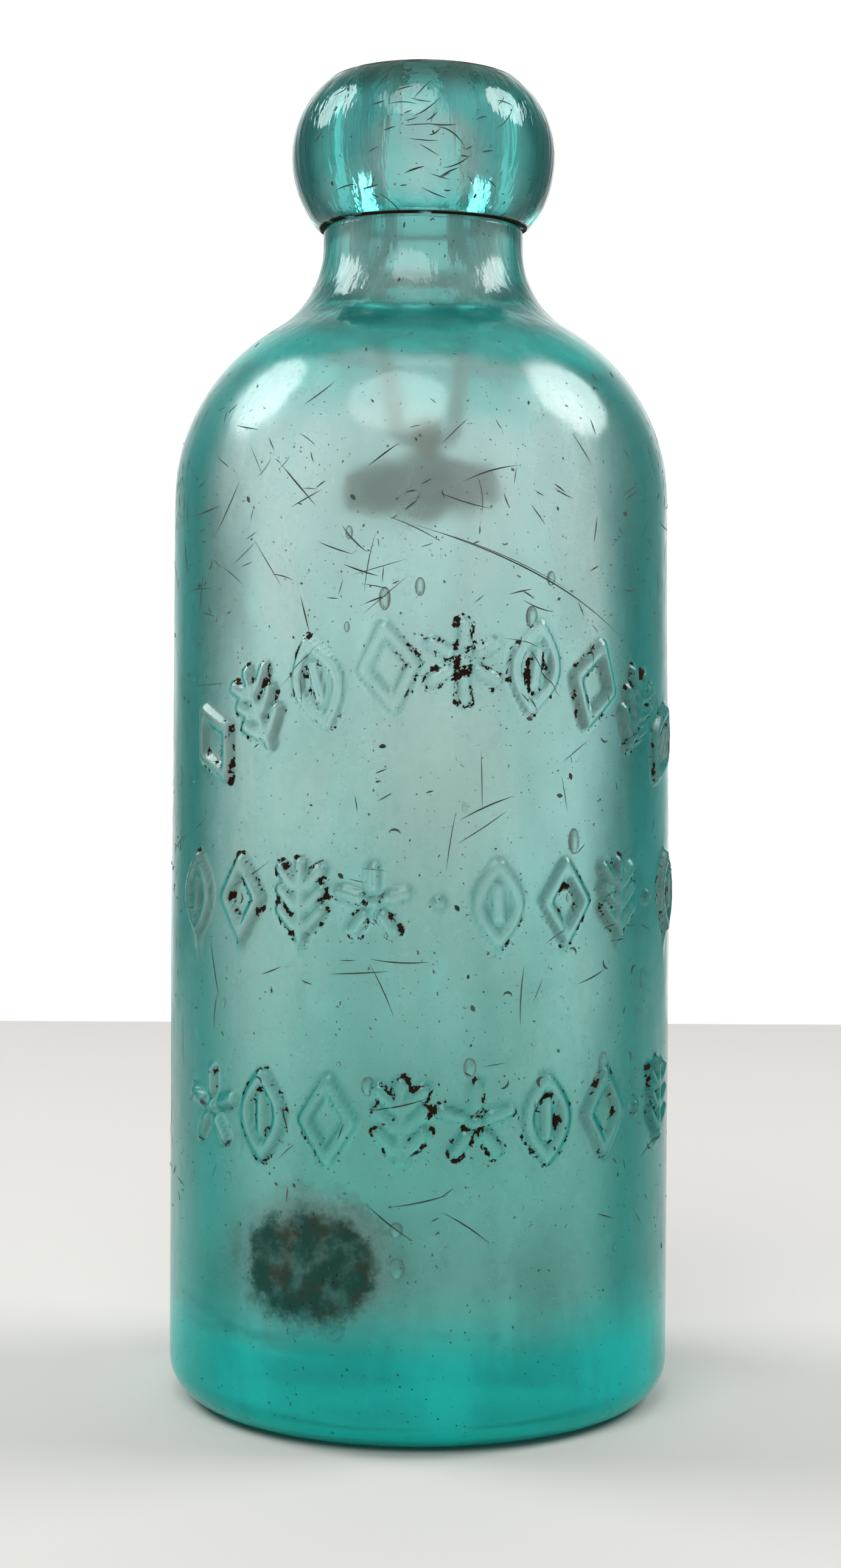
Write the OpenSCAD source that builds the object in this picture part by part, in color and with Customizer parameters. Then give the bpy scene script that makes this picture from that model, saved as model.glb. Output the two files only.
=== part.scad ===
// Blob-top soda bottle with its internal spring-wire stopper, in millimetres.
// The origin is the centre of the base, on the plane that it rests on, and +Z is up.
// The stopper is drawn pushed down and open: its wire loop is just inside the mouth.

/* [Body] */
// Radius of the straight wall above the heel
body_r = 31.75; // [31.3:0.05:33]
// Radius of the wall where the shoulder starts
shoulder_r = 31.2; // [30.5:0.05:31.3]
// Height at which the wall starts to draw in
taper_z = 60; // [30:1:100]
// Height of the shoulder arc's centre
shoulder_z = 113.3; // [112:0.1:115]
// Radius of the shoulder's arc, in section
shoulder_arc = 25; // [24:0.1:26]
// Radius of the rounded heel
heel_r = 5; // [3:0.1:7]
// Thickness of the side wall
wall_t = 4.6; // [3.6:0.1:5]
// Thickness of the base
floor_t = 9.5; // [6:0.1:12]
// Radius of the corner between the inner floor and the wall
floor_corner_r = 6; // [3:0.1:9]
// Radius of the hollow under the base
hollow_r = 19.5; // [12:0.1:23]
// Depth of the hollow under the base
hollow_depth = 1.6; // [0.5:0.1:2.5]

/* [Neck] */
// Outer radius of the neck at its narrowest
neck_r = 12.7; // [12.4:0.05:12.9]
// Height of the neck's narrowest place
neck_z = 145.6; // [145:0.1:146.5]
// Radius of the bore through the neck and the lip
bore_r = 7.6; // [7.5:0.05:8]
// Rounding where the bore opens into the shoulder
throat_round = 1.4; // [0.8:0.1:1.8]

/* [Blob lip] */
// Height of the joint between the neck and the applied lip
joint_z = 147.8; // [147.2:0.1:148.6]
// Outer radius of the neck's rim, which the lip laps over
rim_r = 11.2; // [9.5:0.1:11.8]
// Height of the neck's rim above the joint
rim_h = 3; // [1:0.1:6]
// Largest radius of the lip
blob_r = 16.7; // [16.4:0.05:17.2]
// Height of the lip's largest radius
blob_z = 156.9; // [156.4:0.1:157.4]
// Radius of the lip's lower arc, in section
blob_low_arc = 14.1; // [13.5:0.1:15]
// Radius of the lip's upper arc, in section
blob_high_arc = 12; // [11.6:0.1:12.4]
// Height of the top of the lip
lip_z = 166.8; // [166.4:0.1:167.2]

/* [Stopper] */
// Radius of the spring wire
wire_r = 1.15; // [0.9:0.05:1.25]
// Gap between the loop and the bore
wire_gap = 0.25; // [0.1:0.05:0.6]
// Depth of the loop's top below the lip
loop_drop = 2.3; // [1:0.1:6]
// Half width of the loop's waist, on the wire's centre line
waist_half = 4.2; // [3.5:0.1:4.6]
// Distance between the centres of the loop's two bows
bow_spacing = 18; // [16:0.5:20]
// Travel of the stopper from open to closed
travel = 16; // [12:0.5:18]
// Gap left between the gasket and the throat when closed
seat_gap = 0.15; // [0.05:0.05:0.5]
// Radius of the rubber gasket
gasket_r = 9.5; // [9:0.1:10.5]
// Thickness of the rubber gasket
gasket_t = 4.5; // [3:0.1:6]
// Radius of the upper plate
upper_plate_r = 5.5; // [4:0.1:7]
// Thickness of the upper plate
upper_plate_t = 0.8; // [0.6:0.1:1.2]
// Radius of the lower plate
lower_plate_r = 7; // [5:0.1:7.2]
// Thickness of the lower plate
lower_plate_t = 1; // [0.6:0.1:1.5]
// Radius of the rivet's shank
shank_r = 1.7; // [1.4:0.1:2]

/* [Hidden] */
$fn = 64;
arc_step = 5;

// Body: the shoulder's arc, and the hollow fillet that leads it into the neck
shoulder_x = shoulder_r - shoulder_arc;
fillet_dx = neck_r - shoulder_x;
fillet_dz = neck_z - shoulder_z;
fillet_r = (fillet_dx * fillet_dx + fillet_dz * fillet_dz - shoulder_arc * shoulder_arc)
           / (2 * (shoulder_arc - fillet_dx));
fillet_x = neck_r + fillet_r;
fillet_a = atan2(fillet_dz, fillet_x - shoulder_x);
hollow_arc = (hollow_r * hollow_r + hollow_depth * hollow_depth) / (2 * hollow_depth);
hollow_a = asin(hollow_r / hollow_arc);

// Cavity: the inner dome, and the rounding from it into the bore
cavity_r = body_r - wall_t;
cavity_top_r = shoulder_r - wall_t;
dome_r = shoulder_arc - wall_t;
throat_x = bore_r + throat_round;
throat_z = shoulder_z + sqrt(pow(dome_r + throat_round, 2) - pow(throat_x - shoulder_x, 2));
throat_a = atan2(throat_z - shoulder_z, throat_x - shoulder_x);
seat_z = shoulder_z + dome_r * sin(throat_a);

// Lip: the crown is one arc that meets the upper arc and the bore smoothly
blob_low_x = blob_r - blob_low_arc;
blob_high_x = blob_r - blob_high_arc;
crown_b = 2 * (blob_high_arc + bore_r - blob_high_x - lip_z + blob_z);
crown_c = pow(bore_r - blob_high_x, 2) + pow(lip_z - blob_z, 2) - pow(blob_high_arc, 2);
crown_r = (sqrt(crown_b * crown_b - 4 * crown_c) - crown_b) / 2;
crown_x = bore_r + crown_r;
crown_z = lip_z - crown_r;
crown_a = atan2(crown_z - blob_z, crown_x - blob_high_x);
blob_low_a = asin((joint_z - blob_z) / blob_low_arc);

// Stopper: heights when it is open
gasket_top = seat_z - seat_gap - travel;
gasket_low = gasket_top - gasket_t;
gasket_round = 0.8;
collar_z = gasket_top + upper_plate_t;
collar_r = 2.5;
collar_h = 0.8;
head_z = gasket_low - lower_plate_t;
head_r = 3;
head_h = 1.3;
hole_gap = 0.05;
plate_round = 0.25;
lug_half_x = 1.5;
lug_half_y = 2.3;
eye_gap = 0.1;
eye_z = collar_z + collar_h + lug_half_y;

// Stopper: the loop's arcs, on the wire's centre line in the XZ plane
bow_r = bore_r - wire_gap - wire_r;
top_bow_z = lip_z - loop_drop - wire_r - bow_r;
low_bow_z = top_bow_z - bow_spacing;
waist_z = (top_bow_z + low_bow_z) / 2;
half_spacing = bow_spacing / 2;
waist_arc = (waist_half * waist_half + half_spacing * half_spacing - bow_r * bow_r)
            / (2 * (bow_r - waist_half));
waist_x = waist_half + waist_arc;
waist_a = atan2(half_spacing, waist_x);
end_gap = 0.2;
wire_sides = 10;
bend_r = 2;
bend_clear = 0.4;
bend_x = lug_half_x + bend_clear;
leg_dz = low_bow_z - eye_z - bend_r;
leg_a = asin((bow_r - bend_r) / norm([bend_x, leg_dz])) - atan2(bend_x, leg_dz);

// Points along an arc from angle a0 to a1, with its centre at [x, z]
function arc(x, z, r, a0, a1) =
    let (steps = ceil(abs(a1 - a0) / arc_step))
    [for (i = [0 : steps]) let (a = a0 + (a1 - a0) * i / steps) [x + r * cos(a), z + r * sin(a)]];

// Outside of the body, from the hollow under the base up to the neck's rim
function body_outside() = concat(
    arc(0, hollow_depth - hollow_arc, hollow_arc, 90, 90 - hollow_a),
    arc(body_r - heel_r, heel_r, heel_r, -90, 0),
    [[body_r, taper_z]],
    arc(shoulder_x, shoulder_z, shoulder_arc, 0, fillet_a),
    arc(fillet_x, neck_z, fillet_r, 180 + fillet_a, 180),
    [[neck_r, joint_z], [rim_r, joint_z], [rim_r, joint_z + rim_h]]);

// Inside of the body, from the rim down the bore to the middle of the floor
function body_inside() = concat(
    [[bore_r, joint_z + rim_h]],
    arc(throat_x, throat_z, throat_round, 180, 180 + throat_a),
    arc(shoulder_x, shoulder_z, dome_r, throat_a, 0),
    [[cavity_r, taper_z]],
    arc(cavity_r - floor_corner_r, floor_t + floor_corner_r, floor_corner_r, 0, -90),
    [[0, floor_t]]);

// Heavy moulded body: base, wall, shoulder and neck
module glass_body() {
    color([0.55, 0.8, 0.77, 0.5])
    rotate_extrude()
    polygon(concat(body_outside(), body_inside()));
}

// Thick rounded ring of glass, applied over the end of the neck
module blob_finish() {
    color([0.4, 0.72, 0.7, 0.5])
    rotate_extrude()
    polygon(concat(
        [[rim_r, joint_z]],
        arc(blob_low_x, blob_z, blob_low_arc, blob_low_a, 0),
        arc(blob_high_x, blob_z, blob_high_arc, 0, crown_a),
        arc(crown_x, crown_z, crown_r, crown_a, 180),
        [[bore_r, joint_z + rim_h], [rim_r, joint_z + rim_h]]));
}

// Centre line of one side of the loop, from its end in the rivet's eye to its top
function wire_side() = concat(
    [[end_gap, eye_z]],
    arc(bend_x, eye_z + bend_r, bend_r, -90, -leg_a),
    arc(0, low_bow_z, bow_r, -leg_a, waist_a),
    arc(waist_x, waist_z, waist_arc, 180 + waist_a, 180 - waist_a),
    arc(0, top_bow_z, bow_r, -waist_a, 90));

// The list without any point that repeats the one before it
function tidy(p) = [for (i = [0 : len(p) - 1]) if (i == 0 || norm(p[i] - p[max(i - 1, 0)]) > 0.01) p[i]];

// Ring of points round the wire, square to its centre line at point i
function wire_ring(p, i) =
    let (d = p[min(i + 1, len(p) - 1)] - p[max(i - 1, 0)], n = [d[1], -d[0]] / norm(d))
    [for (k = [0 : wire_sides - 1]) let (a = 360 * k / wire_sides)
        [p[i][0] + wire_r * cos(a) * n[0], wire_r * sin(a), p[i][1] + wire_r * cos(a) * n[1]]];

// Spring wire bent into a loop with two bows that bear on the bore
module stopper_wire() {
    side = wire_side();
    last = len(side) - 1;
    path = tidy(concat(side, [for (i = [1 : last]) [-side[last - i][0], side[last - i][1]]]));
    rings = len(path);
    color([0.55, 0.52, 0.47])
    polyhedron(
        points = [for (i = [0 : rings - 1]) each wire_ring(path, i)],
        faces = concat(
            [[for (k = [0 : wire_sides - 1]) k]],
            [for (i = [0 : rings - 2], k = [0 : wire_sides - 1])
                let (a = i * wire_sides, b = a + wire_sides, m = (k + 1) % wire_sides)
                [a + k, b + k, b + m, a + m]],
            [[for (k = [wire_sides - 1 : -1 : 0]) (rings - 1) * wire_sides + k]]));
}

// A washer round the rivet's shank, with a rounded rim
module washer(z, r, t, round_r) {
    translate([0, 0, z])
    rotate_extrude()
    polygon(concat(
        [[shank_r + hole_gap, 0]],
        arc(r - round_r, round_r, round_r, -90, 0),
        arc(r - round_r, t - round_r, round_r, 0, 90),
        [[shank_r + hole_gap, t]]));
}

// Small plate on top of the gasket
module upper_plate() {
    color([0.6, 0.57, 0.5]) washer(gasket_top, upper_plate_r, upper_plate_t, plate_round);
}

// Rubber disc that closes the throat from below
module rubber_gasket() {
    color([0.3, 0.29, 0.28]) washer(gasket_low, gasket_r, gasket_t, gasket_round);
}

// Plate that backs the gasket from below
module lower_plate() {
    color([0.6, 0.57, 0.5]) washer(head_z, lower_plate_r, lower_plate_t, plate_round);
}

// Rivet with a domed head below, a collar above and an eye for the wire's ends
module stem_rivet() {
    head_arc = (head_r * head_r + head_h * head_h) / (2 * head_h);
    head_a = asin(head_r / head_arc);
    lug_z = collar_z + collar_h;
    color([0.62, 0.55, 0.4]) {
        rotate_extrude()
        polygon(concat(
            arc(0, head_z - head_h + head_arc, head_arc, -90, -90 + head_a),
            [[shank_r, head_z], [shank_r, collar_z], [collar_r, collar_z], [collar_r, lug_z],
             [0, lug_z]]));
        difference() {
            union() {
                translate([-lug_half_x, -lug_half_y, lug_z])
                    cube([2 * lug_half_x, 2 * lug_half_y, eye_z - lug_z]);
                translate([-lug_half_x, 0, eye_z])
                    rotate([0, 90, 0]) cylinder(r = lug_half_y, h = 2 * lug_half_x);
            }
            translate([-lug_half_x - 1, 0, eye_z])
                rotate([0, 90, 0]) cylinder(r = wire_r + eye_gap, h = 2 * lug_half_x + 2);
        }
    }
}

glass_body();
blob_finish();
stopper_wire();
upper_plate();
rubber_gasket();
lower_plate();
stem_rivet();
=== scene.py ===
import math
import random

import bpy
import numpy as np
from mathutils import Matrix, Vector


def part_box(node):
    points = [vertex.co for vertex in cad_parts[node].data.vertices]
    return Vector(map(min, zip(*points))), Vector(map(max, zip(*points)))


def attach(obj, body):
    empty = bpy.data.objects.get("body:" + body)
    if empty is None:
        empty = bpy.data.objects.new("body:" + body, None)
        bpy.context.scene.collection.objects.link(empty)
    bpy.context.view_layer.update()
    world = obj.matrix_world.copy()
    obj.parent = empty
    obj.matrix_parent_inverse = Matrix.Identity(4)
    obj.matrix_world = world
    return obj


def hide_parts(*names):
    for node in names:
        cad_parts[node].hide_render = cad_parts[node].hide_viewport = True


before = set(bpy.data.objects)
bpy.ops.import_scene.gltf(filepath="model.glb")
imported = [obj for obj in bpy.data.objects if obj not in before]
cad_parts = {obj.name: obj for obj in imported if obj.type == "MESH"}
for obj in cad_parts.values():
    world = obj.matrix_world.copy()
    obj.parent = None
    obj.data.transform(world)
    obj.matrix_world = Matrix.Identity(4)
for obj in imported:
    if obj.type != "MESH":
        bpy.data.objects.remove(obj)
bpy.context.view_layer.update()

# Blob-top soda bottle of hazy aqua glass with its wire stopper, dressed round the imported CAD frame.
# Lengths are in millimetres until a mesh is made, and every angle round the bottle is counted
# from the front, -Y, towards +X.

MM = 0.001
TAU = 2 * math.pi


# ---------------------------------------------------------------- dimensions

def cad_size(node):
    """Radius, lowest and highest z of a CAD node, in millimetres."""
    low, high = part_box(node)
    return high.x / MM, low.z / MM, high.z / MM


BODY_R = cad_size("glass_body")[0]
BLOB_R, JOINT_Z, LIP_Z = cad_size("blob_finish")
GASKET_R, GASKET_LOW, GASKET_TOP = cad_size("rubber_gasket")
UPPER_R, UPPER_LOW, UPPER_TOP = cad_size("upper_plate")
LOWER_R, LOWER_LOW, LOWER_TOP = cad_size("lower_plate")
LOOP_HALF, WIRE_LOW, LOOP_TOP = cad_size("stopper_wire")

# Sizes of the CAD that its nodes' boxes don't give
SHOULDER_R = 31.2
TAPER_Z = 60.0
SHOULDER_Z = 113.3
SHOULDER_ARC = 25.0
HEEL_R = 5.0
WALL_T = 4.6
FLOOR_T = 9.5
FLOOR_CORNER_R = 6.0
HOLLOW_R = 19.5
HOLLOW_DEPTH = 1.6
NECK_R = 12.7
NECK_Z = 145.6
BORE_R = 7.6
THROAT_ROUND = 1.4
BLOB_Z = 156.9
BLOB_LOW_ARC = 14.1
BLOB_HIGH_ARC = 12.0
WIRE_R = 1.15


# ---------------------------------------------------------------- outline of the glass

def arc(x, z, r, a0, a1, step):
    """Points on an arc about (x, z), in degrees, about one every `step` millimetres."""
    count = max(2, math.ceil(math.radians(abs(a1 - a0)) * r / step))
    angles = [math.radians(a0 + (a1 - a0) * i / count) for i in range(count + 1)]
    return [(x + r * math.cos(a), z + r * math.sin(a)) for a in angles]


def line(p, q, step):
    """Points from p to q, about one every `step` millimetres."""
    count = max(1, math.ceil(math.dist(p, q) / step))
    return [(p[0] + (q[0] - p[0]) * i / count, p[1] + (q[1] - p[1]) * i / count)
            for i in range(count + 1)]


def wall_radius(z):
    """Radius of the outer wall, which draws in a little above TAPER_Z."""
    t = max(0.0, (z - TAPER_Z) / (SHOULDER_Z - TAPER_Z))
    return BODY_R + (SHOULDER_R - BODY_R) * min(t, 1.0)


def joined(*runs):
    """One list of points from several that follow on, without repeats."""
    points = []
    for run in runs:
        for p in run:
            if not points or math.dist(p, points[-1]) > 0.01:
                points.append(p)
    return points


ORNAMENT_BANDS = [(33.0, 45.5), (59.5, 70.0), (73.0, 99.5)]
ORNAMENT_LOW = 28.0
ORNAMENT_HIGH = 104.0
FINE_STEP = 0.45
WALL_STEP = 2.0


def wall_rows():
    """Heights of the rows up the wall: fine where the ornament is, coarse between."""
    rows, z = [], HEEL_R
    while z < SHOULDER_Z:
        rows.append(z)
        fine = any(low <= z < high for low, high in ORNAMENT_BANDS)
        z += FINE_STEP if fine else WALL_STEP
    return [(wall_radius(z), z) for z in rows] + [(SHOULDER_R, SHOULDER_Z)]


def outer_outline():
    """From the middle of the underside up the outside to the top of the lip."""
    hollow_arc = (HOLLOW_R ** 2 + HOLLOW_DEPTH ** 2) / (2 * HOLLOW_DEPTH)
    hollow_a = math.degrees(math.asin(HOLLOW_R / hollow_arc))
    shoulder_x = SHOULDER_R - SHOULDER_ARC
    dx, dz = NECK_R - shoulder_x, NECK_Z - SHOULDER_Z
    fillet_r = (dx * dx + dz * dz - SHOULDER_ARC ** 2) / (2 * (SHOULDER_ARC - dx))
    fillet_x = NECK_R + fillet_r
    fillet_a = math.degrees(math.atan2(dz, fillet_x - shoulder_x))
    low_x = BLOB_R - BLOB_LOW_ARC
    low_a = math.degrees(math.asin((JOINT_Z - BLOB_Z) / BLOB_LOW_ARC))
    high_x, crown_x, crown_z, crown_r, crown_a = crown()
    return joined(
        arc(0, HOLLOW_DEPTH - hollow_arc, hollow_arc, 90 - 0.4, 90 - hollow_a, 1.6),
        line((HOLLOW_R, 0), (BODY_R - HEEL_R, 0), 1.6),
        arc(BODY_R - HEEL_R, HEEL_R, HEEL_R, -90, 0, 0.7),
        wall_rows(),
        arc(shoulder_x, SHOULDER_Z, SHOULDER_ARC, 0, fillet_a, 1.1),
        arc(fillet_x, NECK_Z, fillet_r, 180 + fillet_a, 180, 0.8),
        line((NECK_R, NECK_Z), (NECK_R, JOINT_Z), 0.35),
        arc(low_x, BLOB_Z, BLOB_LOW_ARC, low_a, 0, 0.6),
        arc(high_x, BLOB_Z, BLOB_HIGH_ARC, 0, crown_a, 0.7),
        arc(crown_x, crown_z, crown_r, crown_a, 90, 0.4))


def crown():
    """The arc that rolls the lip over into the bore: x of the arc below, x, z, r and angle."""
    high_x = BLOB_R - BLOB_HIGH_ARC
    b = 2 * (BLOB_HIGH_ARC + BORE_R - high_x - LIP_Z + BLOB_Z)
    c = (BORE_R - high_x) ** 2 + (LIP_Z - BLOB_Z) ** 2 - BLOB_HIGH_ARC ** 2
    r = (math.sqrt(b * b - 4 * c) - b) / 2
    x, z = BORE_R + r, LIP_Z - r
    return high_x, x, z, r, math.degrees(math.atan2(z - BLOB_Z, x - high_x))


def inner_outline():
    """From the top of the lip down the bore and the inside wall to the middle of the floor."""
    _, crown_x, crown_z, crown_r, _ = crown()
    shoulder_x = SHOULDER_R - SHOULDER_ARC
    dome_r = SHOULDER_ARC - WALL_T
    throat_x = BORE_R + THROAT_ROUND
    throat_z = SHOULDER_Z + math.sqrt((dome_r + THROAT_ROUND) ** 2 - (throat_x - shoulder_x) ** 2)
    throat_a = math.degrees(math.atan2(throat_z - SHOULDER_Z, throat_x - shoulder_x))
    cavity_r = BODY_R - WALL_T
    corner_z = FLOOR_T + FLOOR_CORNER_R
    return joined(
        arc(crown_x, crown_z, crown_r, 90, 180, 0.4),
        line((BORE_R, crown_z), (BORE_R, throat_z), 1.5),
        arc(throat_x, throat_z, THROAT_ROUND, 180, 180 + throat_a, 0.4),
        arc(shoulder_x, SHOULDER_Z, dome_r, throat_a, 0, 1.2),
        line((SHOULDER_R - WALL_T, SHOULDER_Z), (cavity_r, TAPER_Z), 3.0),
        line((cavity_r, TAPER_Z), (cavity_r, corner_z), 3.0),
        arc(cavity_r - FLOOR_CORNER_R, corner_z, FLOOR_CORNER_R, 0, -90, 0.9),
        line((cavity_r - FLOOR_CORNER_R, FLOOR_T), (0.8, FLOOR_T), 1.8))


# ---------------------------------------------------------------- moulded ornament

ARCH_TOP = 92.7
ARCH_RADIUS = 62.0
ARCH_MIDDLE = 5.0
ARCH_PITCH = 8.8
ROW_MIDDLE = 64.7
ROW_LOW = 39.2
FAR_AWAY = 9.0
STROKE_CORE = 0.35
STROKE_EDGE = 1.08
RELIEF = 0.68
FRONT_LEFT = -70.0
FRONT_RIGHT = 88.0


def leaf(height, width):
    """Outline of an upright leaf with its midrib."""
    side = [(width / 2 * math.sin(math.pi * i / 8), height * (i / 8 - 0.5)) for i in range(9)]
    return [side + [(-x, z) for x, z in reversed(side)], [(0, -height * 0.2), (0, height * 0.2)]]


def lozenge(height, width):
    """Outline of an upright diamond."""
    h, w = height / 2, width / 2
    return [[(0, h), (w, 0), (0, -h), (-w, 0), (0, h)]]


def petals(count, low, high):
    """Separate petals round a bead."""
    turns = [TAU * k / count for k in range(count)]
    rays = [[(low * math.sin(a), low * math.cos(a)), (high * math.sin(a), high * math.cos(a))]
            for a in turns]
    return rays + bead()


def wheat(height):
    """An ear of wheat: a stalk with three pairs of grains."""
    paths = [[(0, -height / 2), (0, height / 2)]]
    for k in range(3):
        z = height * (0.28 * k - 0.28)
        paths += [[(0.9, z - 0.5), (2.6, z + 1.3)], [(-0.9, z - 0.5), (-2.6, z + 1.3)]]
    return paths


def bead():
    """A single raised dot."""
    return [[(0, 0), (0, 0.01)]]


def ornament():
    """Every motif as (u, z, turn, soil, paths): u is the arc length round from the front."""
    motifs = []
    arch = [lozenge(9.2, 6.0), wheat(9.0), leaf(9.6, 5.2), lozenge(9.2, 6.0), petals(6, 2.2, 4.3),
            leaf(9.6, 5.2), lozenge(9.2, 6.0), wheat(9.0), leaf(9.6, 5.2)]
    for k, paths in enumerate(arch):
        a = ARCH_PITCH * (k - 4) / ARCH_RADIUS
        motifs.append((ARCH_MIDDLE + ARCH_RADIUS * math.sin(a),
                       ARCH_TOP - ARCH_RADIUS * (1 - math.cos(a)),
                       math.degrees(a), 0.9 if k == 4 else 0.62, paths))
    middle = [(-32, leaf(8.8, 4.8)), (-23.2, lozenge(8.6, 5.6)), (-14.4, wheat(8.4)),
              (-5.4, petals(5, 1.9, 3.9)), (2.2, bead()), (9.2, leaf(8.8, 4.8)),
              (18, lozenge(8.6, 5.6)), (26.6, wheat(8.4)), (33.2, bead()), (40, leaf(8.8, 4.8))]
    motifs += [(u, ROW_MIDDLE, 0.0, 0.8 if -25 < u < 1 else 0.6, p) for u, p in middle]
    low = [(-28.5, petals(5, 2.0, 4.2)), (-19.7, leaf(9.4, 5.0)), (-10.9, lozenge(9.2, 5.8)),
           (-2.1, wheat(9.0)), (6.7, petals(5, 2.0, 4.2)), (15.5, leaf(9.4, 5.0)),
           (24.3, lozenge(9.2, 5.8)), (30.6, bead()), (37, wheat(9.0))]
    motifs += [(u, ROW_LOW, 0.0, 0.68 if -5 < u < 20 else 0.55, p) for u, p in low]
    return motifs


def path_distance(u, z, path):
    """Distance of the points (u, z) from a polyline."""
    best = np.full(u.shape, 1e9)
    for (x0, z0), (x1, z1) in zip(path[:-1], path[1:]):
        dx, dz = x1 - x0, z1 - z0
        span = max(dx * dx + dz * dz, 1e-6)
        t = np.clip(((u - x0) * dx + (z - z0) * dz) / span, 0, 1)
        best = np.minimum(best, np.hypot(u - x0 - t * dx, z - z0 - t * dz))
    return best


def ornament_distance(u, z):
    """Distance of the points (u, z) from the nearest stroke, and how soiled that motif is."""
    best, soiled = np.full(u.shape, FAR_AWAY), np.zeros(u.shape)
    for mu, mz, turn, soil, paths in ornament():
        near = np.nonzero((np.abs(u - mu) < 6) & (np.abs(z - mz) < 6))[0]
        if not len(near):
            continue
        soiled[near] = soil
        c, s = math.cos(math.radians(turn)), math.sin(math.radians(turn))
        du, dz = u[near] - mu, z[near] - mz
        lu, lz = du * c - dz * s, du * s + dz * c
        for path in paths:
            best[near] = np.minimum(best[near], path_distance(lu, lz, path))
    return best, soiled


def smooth_fall(d, core, edge):
    """1 up to `core`, 0 past `edge`, and a smooth slope between."""
    t = np.clip((edge - d) / (edge - core), 0, 1)
    return t * t * (3 - 2 * t)


# ---------------------------------------------------------------- uneven glass

BACK_STEP = 3.2
SEAM_TURN = 9.0
SEAM_RELIEF = 0.16
SEAM_HALF = 0.8
UNEVEN_LOW = 2.0
SEAM_HIGH = 143.0
OUTER_WAVE = 0.07
INNER_WAVE = 0.30
FLOOR_WAVE = 0.8
CROWN_DEPTH = 2.2
JOINT_WANDER = 0.35
GROOVE_DEPTH = 0.38
GROOVE_HALF = 0.3
# Tall zones near the sides, darkened as painted shade: angle and half width in degrees, middle and
# half height, and strength
SIDE_SHADE_ZONES = [(57, 11, 72, 50, 1.0), (-66, 9, 96, 36, 0.8)]


def ripple(angle, z, seed, waves, length, turns):
    """A smooth random field round the bottle: `waves` sines of about `length` millimetres."""
    rng = random.Random(seed)
    total = np.zeros(np.shape(angle))
    for _ in range(waves):
        n = rng.randint(1, turns)
        k = TAU / (length * rng.uniform(0.7, 1.8))
        total = total + rng.uniform(0.5, 1.0) * np.sin(n * angle + k * z + rng.uniform(0, TAU))
    return total / math.sqrt(waves)


def lathe_angles():
    """Angles of the mesh's columns: fine across the ornament, coarse behind."""
    left, right = math.radians(FRONT_LEFT), math.radians(FRONT_RIGHT)
    fine = math.ceil((right - left) * BODY_R / FINE_STEP)
    coarse = math.ceil((TAU + left - right) / math.radians(BACK_STEP))
    return np.concatenate([np.linspace(left, right, fine, endpoint=False),
                           np.linspace(right, TAU + left, coarse, endpoint=False)])


def add_mesh(name, verts, faces, body, material):
    """A new object from points in metres, riding on a body."""
    mesh = bpy.data.meshes.new(name)
    mesh.from_pydata([tuple(v) for v in verts], [], faces)
    mesh.validate()
    mesh.update()
    mesh.polygons.foreach_set("use_smooth", [True] * len(mesh.polygons))
    obj = bpy.data.objects.new(name, mesh)
    bpy.context.scene.collection.objects.link(obj)
    obj.data.materials.append(material)
    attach(obj, body)
    return obj


def outer_offset(around, z):
    """How far the outer surface stands off its outline, with the ornament's distance and soil."""
    distance, soiled = np.full(z.shape, FAR_AWAY), np.zeros(z.shape)
    in_front = (around > math.radians(FRONT_LEFT + 1)) & (around < math.radians(FRONT_RIGHT - 1))
    wall = (z > ORNAMENT_LOW) & (z < ORNAMENT_HIGH) & in_front
    distance[wall], soiled[wall] = ornament_distance(around[wall] * BODY_R, z[wall])
    relief = RELIEF * smooth_fall(distance, STROKE_CORE, STROKE_EDGE)
    seam_off = np.abs(np.abs(around - math.radians(SEAM_TURN)) - math.radians(90)) * BODY_R
    seam = SEAM_RELIEF * np.exp(-(seam_off / SEAM_HALF) ** 2)
    seam = np.where((z > UNEVEN_LOW) & (z < SEAM_HIGH), seam, 0.0)
    soft = OUTER_WAVE * ripple(around, z, 5, 7, 60, 4) * np.clip((z - UNEVEN_LOW) / 6, 0, 1)
    return relief + seam + soft, distance, soiled


def side_shade_mask(a, around, z):
    """Mask of two tall zones near the sides of the wall, where painted shade deepens the teal."""
    degrees = np.degrees(around) + 3 * ripple(a, z, 51, 5, 45, 3)
    zones = np.zeros(z.shape)
    for angle, half, middle, half_z, strength in SIDE_SHADE_ZONES:
        across = np.exp(-((degrees - angle) / half) ** 2)
        zones = zones + strength * across * np.exp(-((z - middle) / half_z) ** 4)
    return zones


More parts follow.
